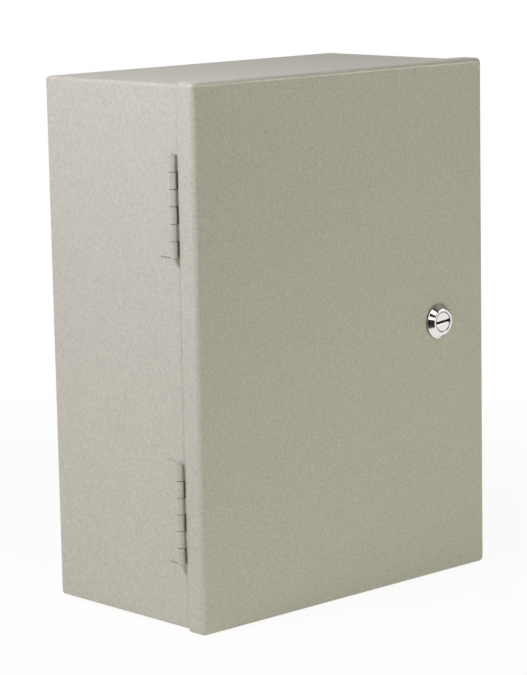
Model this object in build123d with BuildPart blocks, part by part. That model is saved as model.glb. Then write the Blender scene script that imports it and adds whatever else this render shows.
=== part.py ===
"""Wall-mounted sheet-steel utility cabinet with a hinged pan door and a quarter-turn latch.

All sizes are millimetres. The origin is the middle of the wall holes on the back's outer face,
+X to the right seen from the front, +Y into the wall and +Z up. The door is closed and the latch
is turned to its open position. Depths are distances in front of the back's outer face.
"""

from build123d import *
import os
from math import radians, tan

os.makedirs("parts", exist_ok=True)

overrun = 1.0  # how far a cut runs past the face that it opens

# Cabinet body, one folded and welded steel box with a lip and a collar round its opening
body_width = 304.8
body_height = 406.4
body_depth = 152.4
body_sheet = 1.5
body_bend = 1.5  # inside radius of every fold
lip_width = 15.0  # side wall's outer face to the collar's outer face
collar_height = 9.0  # collar's edge in front of the lip
collar_corner = 6.0  # outer radius of the collar's corners
wall_hole_radius = 4.0
wall_hole_inset = 25.4  # body's sides to the middles of the wall holes

# Door, a steel pan that overlaps the body all round
door_overhang = 1.8
door_gap = 0.7  # door's back edge in front of the lip
door_depth = 16.6
door_sheet = 1.5
door_bend = 2.0  # inside radius of the door's folds
door_corner = 4.0  # outer radius of the door's corners
gasket_width = 12.0
gasket_corner = 8.0  # radius of the gasket's middle line at its corners
gasket_clearance = 0.3  # gasket to the collar's edge

# Butt hinges on the left side
hinge_length = 76.2
hinge_inset = 52.3  # door's end to the hinge's near end
hinge_setback = 3.7  # hinge axis behind the lip's front
knuckle_count = 6
knuckle_gap = 0.4  # between neighbouring knuckles
pin_radius = 1.5875
pin_end = 0.5  # pin's end past the outermost knuckle
pin_chamfer = 0.4
pin_tight_clearance = 0.02  # in the body's knuckles
pin_running_clearance = 0.05  # in the door's knuckles
leaf_sheet = 1.5
leaf_reach = 19.05  # hinge axis to the body leaf's far edge
leaf_corner = 1.5
leaf_chamfer = 0.4  # round the body leaf's outer edges
knuckle_wall_clearance = 0.4  # door's knuckles to the side wall
knuckle_leaf_clearance = 0.5  # door's knuckles to the body leaf between its own knuckles
door_leaf_step_setback = 1.6  # where the door leaf starts to step in, behind the lip's front
door_leaf_step_angle = 45.0
door_leaf_edge_gap = 0.8  # door's back edge to the door leaf's edge between its knuckles
door_leaf_front_gap = 3.0  # door leaf to the inside of the door's face

# Mounting panel on weld studs in the back of the body
panel_margin = 38.1  # body's sides to the panel's edges
panel_sheet = 1.9
panel_corner = 4.0
panel_hole_clearance = 0.4
panel_slot_length = 11.0  # long holes at the panel's lower corners
stud_inset = 9.5  # panel's edges to the studs
stud_radius = 3.175
stud_chamfer = 0.6
stud_collar_radius = 5.5
stud_collar_height = 12.7
stud_reach = 12.0  # stud's end in front of the panel
stud_thread_clearance = 0.08  # between a nut's bore and its stud
nut_flange_radius = 7.0
nut_flange_height = 1.2
nut_across_flats = 11.1
nut_height = 6.0  # with its flange

# Earth stud in the body and bonding stud on the door, each with a toothed washer and a nut
earth_stud_radius = 3.0
earth_stud_length = 18.0
earth_stud_inset = 20.0  # body's underside to the earth stud
earth_foot_radius = 5.0
earth_foot_height = 1.2
earth_chamfer = 0.5
bond_stud_length = 13.0
bond_stud_side_inset = 28.0  # collar's inner face to the bonding stud, on the hinge side
bond_stud_bottom_inset = 28.0  # collar's inner face to the bonding stud, at the bottom
earth_nut_across_flats = 10.0
earth_nut_height = 5.0
toothed_washer_radius = 5.9
toothed_washer_height = 0.8
tooth_count = 12
tooth_depth = 1.0
tooth_width_share = 0.45  # of the pitch between two teeth

# Quarter-turn latch on the door
latch_inset = 52.6  # door's right edge to the latch axis
latch_z = 0.0
seal_radius = 13.6
seal_height = 0.8
bezel_radius = 14.0
bezel_face_radius = 10.1
bezel_height = 4.5
bezel_rim = 0.8  # straight edge at the bezel's foot
bezel_chamfer = 0.3  # at both edges of the bezel's face
barrel_radius = 11.0
barrel_flats = 20.0  # across the two flats that stop the barrel turning
barrel_hole_clearance = 0.25  # barrel in the door
barrel_cam_gap = 0.3
latch_nut_across_flats = 27.0
latch_nut_height = 5.0
latch_nut_clearance = 0.1
core_radius = 7.75
core_gap = 0.35  # round the core's head
core_recess = 0.3  # core's face behind the bezel's
core_head_depth = 4.0
core_seat_gap = 0.1  # behind the core's head
core_chamfer = 0.25
slot_width = 2.2
slot_depth = 2.6
slot_tilt = 5.0
spindle_radius = 6.0
spindle_clearance = 0.05
groove_setback = 6.0  # ring groove behind the core's head
groove_width = 2.2
groove_depth = 1.6
ring_clearance = 0.05  # sealing ring to the groove's faces and to the barrel
tail_side = 8.0  # square end that turns the cam
tail_clearance = 0.05
tail_recess = 0.3  # tail's end below the cam's back, so that the screw grips the cam
cam_lip_gap = 1.2  # cam's front to the back of the lip, with the gasket not yet pressed
cam_thickness = 3.0
cam_width = 19.0
cam_tip_corner = 5.0
cam_engagement = 8.0  # cam's hold behind the lip, past the collar's inner face
cam_washer_radius = 6.5
cam_washer_height = 1.4
screw_radius = 3.0
screw_depth = 11.0  # screw in the core, past the cam's back
screw_clearance = 0.05
screw_across_flats = 10.0
screw_head_height = 4.0

# Depths of the main faces
lip_front = body_depth
lip_back = lip_front - body_sheet
collar_front = lip_front + collar_height
door_back = lip_front + door_gap
door_front = door_back + door_depth
door_inside = door_front - door_sheet

# Sizes across the front
door_width = body_width + 2 * door_overhang
door_height = body_height + 2 * door_overhang
collar_width = body_width - 2 * lip_width
collar_tall = body_height - 2 * lip_width
opening_width = collar_width - 2 * body_sheet
opening_height = collar_tall - 2 * body_sheet
panel_width = body_width - 2 * panel_margin
panel_height = body_height - 2 * panel_margin
panel_back = body_sheet + stud_collar_height
panel_front = panel_back + panel_sheet


def front_plane(depth):
    """Upright plane that far in front of the back's outer face, facing forwards."""
    return Plane.XZ.offset(depth)


# Body shell: the outer form less the hollow, both a rounded box that narrows into the collar
with BuildPart() as body_hollow:
    with BuildSketch(front_plane(body_sheet)):
        Rectangle(body_width - 2 * body_sheet, body_height - 2 * body_sheet)
    extrude(amount=lip_back - body_sheet)
    fillet(body_hollow.edges(), radius=body_bend)
    with BuildSketch(front_plane(lip_back)):
        RectangleRounded(opening_width, opening_height, collar_corner - body_sheet)
    extrude(amount=collar_front - lip_back + overrun)
    fillet(body_hollow.edges(Select.LAST).group_by(Axis.Y)[-1], radius=body_bend + body_sheet)

with BuildPart() as body_shell:
    with BuildSketch(front_plane(0)):
        Rectangle(body_width, body_height)
    extrude(amount=body_depth)
    fillet(body_shell.edges(), radius=body_bend + body_sheet)
    with BuildSketch(front_plane(lip_front)):
        RectangleRounded(collar_width, collar_tall, collar_corner)
    extrude(amount=collar_height)
    fillet(body_shell.edges(Select.LAST).group_by(Axis.Y)[-1], radius=body_bend)
    add(body_hollow.part, mode=Mode.SUBTRACT)
    with BuildSketch(front_plane(0)):
        with GridLocations(body_width - 2 * wall_hole_inset, body_height - 2 * wall_hole_inset, 2, 2):
            Circle(wall_hole_radius)
    extrude(amount=body_sheet, mode=Mode.SUBTRACT)
body_shell.part.label = "body_shell"
export_step(body_shell.part, "parts/body_shell.step")

# Door pan: a rounded tray, open at the back, with a hole that fits the latch barrel and its flats
latch_x = door_width / 2 - latch_inset
with BuildPart() as door_pan:
    with BuildSketch(front_plane(door_back)):
        Rectangle(door_width, door_height)
    extrude(amount=door_depth)
    fillet(door_pan.edges().filter_by(Axis.Y), radius=door_corner)
    fillet(door_pan.faces().sort_by(Axis.Y)[0].edges(), radius=door_bend + door_sheet)
    offset(amount=-door_sheet, openings=door_pan.faces().sort_by(Axis.Y)[-1])
    with BuildSketch(front_plane(door_inside)):
        with Locations((latch_x, latch_z)):
            Circle(barrel_radius + barrel_hole_clearance)
            Rectangle(
                barrel_flats + 2 * barrel_hole_clearance,
                2 * (barrel_radius + barrel_hole_clearance),
                mode=Mode.INTERSECT,
            )
    extrude(amount=door_sheet, mode=Mode.SUBTRACT)
door_pan.part.label = "door_pan"
export_step(door_pan.part, "parts/door_pan.step")

# Door gasket: a foam strip round the door's inside, along the middle of the collar's edge
with BuildPart() as door_gasket:
    gasket_line_width = collar_width - body_sheet
    gasket_line_height = collar_tall - body_sheet
    with BuildSketch(front_plane(collar_front + gasket_clearance)):
        RectangleRounded(
            gasket_line_width + gasket_width,
            gasket_line_height + gasket_width,
            gasket_corner + gasket_width / 2,
        )
        RectangleRounded(
            gasket_line_width - gasket_width,
            gasket_line_height - gasket_width,
            gasket_corner - gasket_width / 2,
            mode=Mode.SUBTRACT,
        )
    extrude(amount=door_inside - collar_front - gasket_clearance)
door_gasket.part.label = "door_gasket"
export_step(door_gasket.part, "parts/door_gasket.step")

# Hinges: knuckles rolled from the leaves, the door's and the body's in turn, with the body's lowest
knuckle_radius = pin_radius + pin_running_clearance + leaf_sheet
knuckle_pitch = hinge_length / knuckle_count
knuckle_length = knuckle_pitch - knuckle_gap
wall_x = -body_width / 2
hinge_x = wall_x - knuckle_wall_clearance - knuckle_radius
hinge_y = hinge_setback - lip_front
body_leaf_near = hinge_y + knuckle_radius + knuckle_leaf_clearance
body_leaf_far = hinge_y + leaf_reach


def hinge_body_leaf(label, bottom):
    """Leaf that lies flat on the side wall, with the lowest and every second knuckle."""
    with BuildPart() as leaf:
        with BuildSketch(Plane.XY.offset(bottom)):
            with Locations((wall_x, body_leaf_near)):
                Rectangle(leaf_sheet, body_leaf_far - body_leaf_near, align=(Align.MAX, Align.MIN))
        extrude(amount=hinge_length)
        fillet(leaf.edges().filter_by(Axis.X).group_by(Axis.Y)[-1], radius=leaf_corner)
        outer_edges = leaf.faces().sort_by(Axis.X)[0].edges().sort_by(Axis.Y)
        chamfer(outer_edges[1:], length=leaf_chamfer)
        for index in range(0, knuckle_count, 2):
            with BuildSketch(Plane.XY.offset(bottom + index * knuckle_pitch + knuckle_gap / 2)):
                with Locations((hinge_x, hinge_y)):
                    Circle(knuckle_radius)
                with Locations((wall_x, hinge_y)):
                    Rectangle(leaf_sheet, body_leaf_near - hinge_y, align=(Align.MAX, Align.MIN))
                with Locations((hinge_x, hinge_y)):
                    Circle(pin_radius + pin_tight_clearance, mode=Mode.SUBTRACT)
            extrude(amount=knuckle_length)
    leaf.part.label = label
    export_step(leaf.part, f"parts/{label}.step")


flange_x = door_sheet - door_width / 2
door_leaf_near = -(door_back + door_leaf_edge_gap)
door_leaf_far = door_leaf_front_gap - door_inside


def hinge_door_leaf(label, bottom):
    """Leaf that steps in past the body's fold and lies inside the door's flange."""
    tab_inner = hinge_x + knuckle_radius
    tab_outer = tab_inner - leaf_sheet
    plate_inner = flange_x + leaf_sheet
    step_near = door_leaf_step_setback - lip_front
    step_far = step_near - (plate_inner - tab_inner) / tan(radians(door_leaf_step_angle))
    mitre = leaf_sheet * tan(radians(door_leaf_step_angle / 2))
    with BuildPart() as leaf:
        with BuildSketch(Plane.XY.offset(bottom)):
            with Locations((flange_x, door_leaf_near)):
                Rectangle(leaf_sheet, door_leaf_near - door_leaf_far, align=(Align.MIN, Align.MAX))
        extrude(amount=hinge_length)
        for index in range(1, knuckle_count, 2):
            with BuildSketch(Plane.XY.offset(bottom + index * knuckle_pitch + knuckle_gap / 2)):
                with BuildLine():
                    Polyline(
                        (tab_inner, hinge_y),
                        (tab_inner, step_near),
                        (plate_inner, step_far),
                        (plate_inner, door_leaf_near),
                        (flange_x, door_leaf_near),
                        (flange_x, step_far - mitre),
                        (tab_outer, step_near - mitre),
                        (tab_outer, hinge_y),
                        close=True,
                    )
                make_face()
                with Locations((hinge_x, hinge_y)):
                    Circle(knuckle_radius)
                    Circle(pin_radius + pin_running_clearance, mode=Mode.SUBTRACT)
            extrude(amount=knuckle_length)
    leaf.part.label = label
    export_step(leaf.part, f"parts/{label}.step")


def hinge_pin(label, bottom):
    """Pin through all the knuckles of one hinge."""
    with BuildPart() as pin:
        with BuildSketch(Plane.XY.offset(bottom - pin_end)):
            with Locations((hinge_x, hinge_y)):
                Circle(pin_radius)
        extrude(amount=hinge_length + 2 * pin_end)
        chamfer(pin.edges().filter_by(GeomType.CIRCLE), length=pin_chamfer)
    pin.part.label = label
    export_step(pin.part, f"parts/{label}.step")


hinge_bottoms = {
    "upper_hinge": door_height / 2 - hinge_inset - hinge_length,
    "lower_hinge": hinge_inset - door_height / 2,
}
for hinge_name, hinge_bottom in hinge_bottoms.items():
    hinge_body_leaf(f"{hinge_name}_body_leaf", hinge_bottom)
    hinge_door_leaf(f"{hinge_name}_door_leaf", hinge_bottom)
    hinge_pin(f"{hinge_name}_pin", hinge_bottom)

# Mounting panel, with round holes at the top and long ones at the bottom, on four weld studs
stud_pitch_x = panel_width - 2 * stud_inset
stud_pitch_z = panel_height - 2 * stud_inset
panel_hole_radius = stud_radius + panel_hole_clearance
with BuildPart() as mounting_panel:
    with BuildSketch(front_plane(panel_back)):
        RectangleRounded(panel_width, panel_height, panel_corner)
        with Locations((-stud_pitch_x / 2, stud_pitch_z / 2), (stud_pitch_x / 2, stud_pitch_z / 2)):
            Circle(panel_hole_radius, mode=Mode.SUBTRACT)
        with Locations((-stud_pitch_x / 2, -stud_pitch_z / 2), (stud_pitch_x / 2, -stud_pitch_z / 2)):
            SlotOverall(panel_slot_length, 2 * panel_hole_radius, rotation=90, mode=Mode.SUBTRACT)
    extrude(amount=panel_sheet)
mounting_panel.part.label = "mounting_panel"
export_step(mounting_panel.part, "parts/mounting_panel.step")

with BuildPart() as panel_studs:
    with BuildSketch(front_plane(body_sheet)):
        with GridLocations(stud_pitch_x, stud_pitch_z, 2, 2):
            Circle(stud_collar_radius)
    extrude(amount=stud_collar_height)
    with BuildSketch(front_plane(panel_back)):
        with GridLocations(stud_pitch_x, stud_pitch_z, 2, 2):
            Circle(stud_radius)
    extrude(amount=panel_sheet + stud_reach)
    chamfer(panel_studs.edges().group_by(Axis.Y)[0], length=stud_chamfer)
panel_studs.part.label = "panel_studs"
export_step(panel_studs.part, "parts/panel_studs.step")

with BuildPart() as panel_nuts:
    with BuildSketch(front_plane(panel_front)):
        with GridLocations(stud_pitch_x, stud_pitch_z, 2, 2):
            Circle(nut_flange_radius)
            Circle(stud_radius + stud_thread_clearance, mode=Mode.SUBTRACT)
    extrude(amount=nut_flange_height)
    with BuildSketch(front_plane(panel_front + nut_flange_height)):
        with GridLocations(stud_pitch_x, stud_pitch_z, 2, 2):
            RegularPolygon(nut_across_flats / 2, 6, major_radius=False)
            Circle(stud_radius + stud_thread_clearance, mode=Mode.SUBTRACT)
    extrude(amount=nut_height - nut_flange_height)
panel_nuts.part.label = "panel_nuts"
export_step(panel_nuts.part, "parts/panel_nuts.step")


# Earthing hardware: a stud with a welded foot, a toothed washer on the foot and a nut on the washer
def base_axis(base):
    """Axis through a plane's origin, along the way that the plane faces."""
    return Axis(base.origin, base.z_dir)


def earth_stud(label, base, length):
    """Weld stud that stands on a plane, with a low round foot."""
    with BuildPart() as stud:
        with BuildSketch(base):
            Circle(earth_foot_radius)
        extrude(amount=earth_foot_height)
        with BuildSketch(base):
            Circle(earth_stud_radius)
        extrude(amount=length)
        chamfer(stud.faces().sort_by(base_axis(base))[-1].edges(), length=earth_chamfer)
    stud.part.label = label
    export_step(stud.part, f"parts/{label}.step")


def toothed_washer(label, base):
    """Thin washer with teeth round its edge, on the stud's foot."""
    tooth_pitch = 360 / tooth_count
    with BuildPart() as washer:
        with BuildSketch(base.offset(earth_foot_height)):
            Circle(toothed_washer_radius - tooth_depth)
            with PolarLocations(0, tooth_count):
                Rectangle(
                    toothed_washer_radius,
                    2 * toothed_washer_radius * tan(radians(tooth_pitch * tooth_width_share / 2)),
                    align=(Align.MIN, Align.CENTER),
                )
            Circle(earth_stud_radius + stud_thread_clearance, mode=Mode.SUBTRACT)
        extrude(amount=toothed_washer_height)
    washer.part.label = label
    export_step(washer.part, f"parts/{label}.step")


def hex_nut(label, base, across_flats, height, bore_radius):
    """Plain six-sided nut on a plane, with its bore at the plane's origin."""
    with BuildPart() as nut:
        with BuildSketch(base):
            RegularPolygon(across_flats / 2, 6, major_radius=False)
            Circle(bore_radius, mode=Mode.SUBTRACT)
        extrude(amount=height)
    nut.part.label = label
    export_step(nut.part, f"parts/{label}.step")


body_earth = Plane((0, -body_sheet, earth_stud_inset - body_height / 2), x_dir=(1, 0, 0), z_dir=(0, -1, 0))
door_bond = Plane(
    (bond_stud_side_inset - opening_width / 2, -door_inside, bond_stud_bottom_inset - opening_height / 2),
    x_dir=(1, 0, 0),
    z_dir=(0, 1, 0),
)
earth_sets = {
    "body_earth": (body_earth, earth_stud_length),
    "door_bond": (door_bond, bond_stud_length),
}
for set_name, (set_base, set_length) in earth_sets.items():
    earth_stud(f"{set_name}_stud", set_base, set_length)
    toothed_washer(f"{set_name}_washer", set_base)
    hex_nut(
        f"{set_name}_nut",
        set_base.offset(earth_foot_height + toothed_washer_height),
        earth_nut_across_flats,
        earth_nut_height,
        earth_stud_radius + stud_thread_clearance,
    )

# Latch depths, from the bezel's face to the head of the screw that holds the cam
bezel_base = door_front + seal_height
bezel_front = bezel_base + bezel_height
core_front = bezel_front - core_recess
core_back = core_front - core_head_depth
core_seat = core_back - core_seat_gap
cam_front = lip_back - cam_lip_gap
cam_back = cam_front - cam_thickness
barrel_end = cam_front + barrel_cam_gap
tail_end = cam_back + tail_recess
groove_front = core_back - groove_setback
groove_back = groove_front - groove_width
groove_radius = spindle_radius - groove_depth
spindle_bore = spindle_radius + spindle_clearance
core_bore = core_radius + core_gap
cam_reach = opening_width / 2 - latch_x + cam_engagement
latch_section = Plane((latch_x, 0, latch_z))
latch_axis = Axis((latch_x, 0, latch_z), (0, 1, 0))


def latch_plane(depth):
    """Upright plane at a depth, facing forwards, with its origin on the latch axis."""
    return Plane((latch_x, -depth, latch_z), x_dir=(1, 0, 0), z_dir=(0, -1, 0))


# Latch housing: a bezel that tapers to a flat face, and a barrel with two flats behind it
with BuildPart() as latch_housing:
    with BuildSketch(latch_section):
        with BuildLine():
            Polyline(
                (core_bore, -bezel_front),
                (bezel_face_radius, -bezel_front),
                (bezel_radius, -(bezel_base + bezel_rim)),
                (bezel_radius, -bezel_base),
                (barrel_radius, -bezel_base),
                (barrel_radius, -barrel_end),
                (spindle_bore, -barrel_end),
                (spindle_bore, -core_seat),
                (core_bore, -core_seat),
                close=True,
            )
        make_face()
    revolve(axis=latch_axis)
    chamfer(latch_housing.edges().group_by(Axis.Y)[0], length=bezel_chamfer)
    with BuildSketch(latch_plane(barrel_end)):
        with GridLocations(barrel_flats + 2 * barrel_radius, 0, 2, 1):
            Rectangle(2 * barrel_radius, 2 * barrel_radius)
    extrude(amount=bezel_base - barrel_end, mode=Mode.SUBTRACT)
latch_housing.part.label = "latch_housing"
export_step(latch_housing.part, "parts/latch_housing.step")

with BuildPart() as latch_seal:
    with BuildSketch(latch_plane(door_front)):
        Circle(seal_radius)
        Circle(barrel_radius + barrel_hole_clearance, mode=Mode.SUBTRACT)
    extrude(amount=seal_height)
latch_seal.part.label = "latch_seal"
export_step(latch_seal.part, "parts/latch_seal.step")

hex_nut(
    "latch_nut",
    latch_plane(door_inside - latch_nut_height),
    latch_nut_across_flats,
    latch_nut_height,
    barrel_radius + latch_nut_clearance,
)

# Latch core: a slotted head, a spindle with a ring groove, and a square tail tapped for the screw
with BuildPart() as latch_core:
    with BuildSketch(latch_section):
        with BuildLine():
            Polyline(
                (0, -core_front),
                (core_radius, -core_front),
                (core_radius, -core_back),
                (spindle_radius, -core_back),
                (spindle_radius, -groove_front),
                (groove_radius, -groove_front),
                (groove_radius, -groove_back),
                (spindle_radius, -groove_back),
                (spindle_radius, -barrel_end),
                (0, -barrel_end),
                close=True,
            )
        make_face()
    revolve(axis=latch_axis)
    chamfer(latch_core.edges().group_by(Axis.Y)[0], length=core_chamfer)
    with BuildSketch(latch_plane(tail_end)):
        Rectangle(tail_side, tail_side)
    extrude(amount=barrel_end - tail_end)
    with BuildSketch(latch_plane(tail_end)):
        Circle(screw_radius + screw_clearance)
    extrude(amount=screw_depth + overrun, mode=Mode.SUBTRACT)
    with BuildSketch(latch_plane(core_front - slot_depth)):
        Rectangle(2 * (core_radius + overrun), slot_width, rotation=slot_tilt)
    extrude(amount=slot_depth + overrun, mode=Mode.SUBTRACT)
latch_core.part.label = "latch_core"
export_step(latch_core.part, "parts/latch_core.step")

# Sealing ring of square section in the spindle's groove
with BuildPart() as latch_ring:
    with BuildSketch(latch_plane(groove_back + ring_clearance)):
        Circle(spindle_bore - ring_clearance)
        Circle(groove_radius + ring_clearance, mode=Mode.SUBTRACT)
    extrude(amount=groove_width - 2 * ring_clearance)
latch_ring.part.label = "latch_ring"
export_step(latch_ring.part, "parts/latch_ring.step")

# Latch cam, hanging down in the open position, and the screw and washer that hold it
with BuildPart() as latch_cam:
    with BuildSketch(latch_plane(cam_back)):
        Rectangle(cam_width, cam_reach, align=(Align.CENTER, Align.MAX))
        tip_corners = vertices().group_by(Axis.Z)[0]
        fillet(tip_corners, radius=cam_tip_corner)
        Circle(cam_width / 2)
        Rectangle(
            tail_side + 2 * tail_clearance,
            tail_side + 2 * tail_clearance,
            mode=Mode.SUBTRACT,
        )
    extrude(amount=cam_thickness)
latch_cam.part.label = "latch_cam"
export_step(latch_cam.part, "parts/latch_cam.step")

with BuildPart() as cam_washer:
    with BuildSketch(latch_plane(cam_back - cam_washer_height)):
        Circle(cam_washer_radius)
        Circle(screw_radius + screw_clearance, mode=Mode.SUBTRACT)
    extrude(amount=cam_washer_height)
cam_washer.part.label = "cam_washer"
export_step(cam_washer.part, "parts/cam_washer.step")

with BuildPart() as cam_screw:
    with BuildSketch(latch_plane(cam_back - cam_washer_height - screw_head_height)):
        RegularPolygon(screw_across_flats / 2, 6, major_radius=False)
    extrude(amount=screw_head_height)
    with BuildSketch(latch_plane(cam_back - cam_washer_height)):
        Circle(screw_radius)
    extrude(amount=cam_washer_height + screw_depth)
cam_screw.part.label = "cam_screw"
export_step(cam_screw.part, "parts/cam_screw.step")
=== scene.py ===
"""Looks of a wall-mounted utility cabinet: paint, plating, chrome, foam, studio light and camera.

Lengths are metres in the part's own frame: +X to the right seen from the front, +Y into the wall and +Z up.
"""

import logging
import math
from contextlib import contextmanager
from dataclasses import dataclass
from enum import Enum
from typing import Callable, Iterator, Sequence

import bpy
from mathutils import Matrix, Vector


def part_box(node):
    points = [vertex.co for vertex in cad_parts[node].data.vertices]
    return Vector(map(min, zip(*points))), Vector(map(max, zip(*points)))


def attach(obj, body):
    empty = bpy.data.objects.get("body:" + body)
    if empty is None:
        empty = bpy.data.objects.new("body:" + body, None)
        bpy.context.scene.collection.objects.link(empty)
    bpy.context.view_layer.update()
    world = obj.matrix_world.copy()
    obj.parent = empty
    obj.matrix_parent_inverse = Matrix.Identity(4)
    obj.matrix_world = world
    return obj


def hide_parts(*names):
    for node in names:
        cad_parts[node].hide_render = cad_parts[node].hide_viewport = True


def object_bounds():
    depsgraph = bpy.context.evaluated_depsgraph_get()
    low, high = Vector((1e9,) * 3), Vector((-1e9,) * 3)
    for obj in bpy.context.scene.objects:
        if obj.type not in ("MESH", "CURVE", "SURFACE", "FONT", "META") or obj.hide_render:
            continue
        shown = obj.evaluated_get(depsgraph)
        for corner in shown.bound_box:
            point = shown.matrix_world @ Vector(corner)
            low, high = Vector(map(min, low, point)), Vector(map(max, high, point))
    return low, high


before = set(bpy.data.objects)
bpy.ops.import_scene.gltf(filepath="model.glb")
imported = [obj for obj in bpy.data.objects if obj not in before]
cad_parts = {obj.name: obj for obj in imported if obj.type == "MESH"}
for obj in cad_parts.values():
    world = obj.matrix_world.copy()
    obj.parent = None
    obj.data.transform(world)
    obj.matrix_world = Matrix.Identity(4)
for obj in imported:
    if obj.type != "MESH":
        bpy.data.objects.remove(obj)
cad_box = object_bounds()

LOG = logging.getLogger("utility_cabinet")
MM = 0.001
MERGE_DISTANCE = 0.000002
TURN_STEPS = 96
STUD_STEPS = 36  # steps round a small stud
SMOOTH_ANGLE = math.radians(32.0)
FLAT_ANGLE = math.radians(0.6)  # faces of a solid that meet flatter than this become one
THREAD_DEPTH = 0.55  # of the pitch
THREAD_RINGS = 8  # rings of points in one turn of a thread
NUT_FACE = 0.97  # width of a nut's round face, of its width across flats
NUT_CHAMFER = math.radians(30.0)
NUT_FLARE = 0.12  # countersink of a nut's bore, of the bore's radius
CUTTER_OVERRUN = 0.1  # how far a nut's cutter goes past it, of its height
WHITE = (1.0, 1.0, 1.0, 1.0)
MIX_FACTOR, MIX_FIRST, MIX_SECOND, MIX_RESULT = 0, 6, 7, 2  # sockets of a Mix node that mixes colours

Point = tuple[float, float]
Span = tuple[float, float]
Place = tuple[float, float, float]
Colour = tuple[float, float, float]
Value = bpy.types.NodeSocket | float


class Body(Enum):
    """Bodies that move on their own."""

    CABINET = "cabinet"
    DOOR = "door"
    LATCH = "latch"


class Slot(Enum):
    """Material slots of the part's record."""

    CABINET_PAINT = "cabinet_paint"
    PANEL_PAINT = "panel_paint"
    LATCH_CHROME = "latch_chrome"
    ZINC_PLATE = "zinc_plate"
    HINGE_STEEL = "hinge_steel"
    GASKET_FOAM = "gasket_foam"
    SEAL_RUBBER = "seal_rubber"


class Facing(Enum):
    """Turns about X that point a piece's own +Z out of the cabinet or into it."""

    FRONT = math.pi / 2
    BACK = -math.pi / 2


class Joining(Enum):
    """Ways to combine two closed pieces."""

    CUT = "DIFFERENCE"
    COMMON = "INTERSECT"
    FUSE = "UNION"


class Look(Enum):
    """Finishes of faces that share a slot with a brighter one: unpolished metal darkened as painted shade.
    """

    # Near-black: painted shade in the latch's bore, slot and the gap round the core, on rougher unpolished
    # metal
    DULL_METAL = "dull_metal"


class Texture(Enum):
    """Surface textures that the finishes share, each one a node group."""

    POWDER_COAT = "powder_coat"
    PLATED_METAL = "plated_metal"
    CELLULAR = "cellular"


class NodeBoard:
    """A node tree, with short calls that add and link its nodes."""

    def __init__(self, tree: bpy.types.NodeTree) -> None:
        """Keeps the tree that the nodes go into."""
        self.tree = tree

    def add(self, kind: str, inputs: dict | None = None, **settings: object) -> bpy.types.Node:
        """Adds a node.

        Args:
            kind: Blender's name of the node type.
            inputs: Values or output sockets, by the name or number of the input.
            settings: Properties of the node itself.

        Returns:
            The new node.
        """
        node = self.tree.nodes.new(kind)
        for key, value in settings.items():
            setattr(node, key, value)
        for key, value in (inputs or {}).items():
            if isinstance(value, bpy.types.NodeSocket):
                self.tree.links.new(value, node.inputs[key])
            else:
                node.inputs[key].default_value = value
        return node

    def math(self, operation: str, first: Value, second: Value = 0.0) -> bpy.types.NodeSocket:
        """Adds a Math node and returns its result."""
        return self.add("ShaderNodeMath", {0: first, 1: second}, operation=operation).outputs[0]

    def blend(self, value: Value, span: Span, first: float, last: float) -> bpy.types.NodeSocket:
        """Goes smoothly from one level to another.

        Args:
            value: Value or socket that is followed.
            span: Where the first level ends, and where the last one is reached.
            first: Level before the span.
            last: Level after the span.

        Returns:
            The level.
        """
        start, end = span
        values = {"Value": value, "From Min": start, "From Max": end, "To Min": first, "To Max": last}
        node = self.add("ShaderNodeMapRange", values, interpolation_type="SMOOTHSTEP")
        return node.outputs["Result"]

    def around(self, middle: Value, noise: bpy.types.NodeSocket, swing: Value) -> bpy.types.NodeSocket:
        """Varies a value about its middle.

        Args:
            middle: Value or socket that is varied.
            noise: Pattern from 0 to 1.
            swing: How far the result moves as the pattern goes from 0 to 1.

        Returns:
            The varied value.
        """
        centred = self.math("SUBTRACT", noise, 0.5)
        return self.math("ADD", middle, self.math("MULTIPLY", centred, swing))


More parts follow.
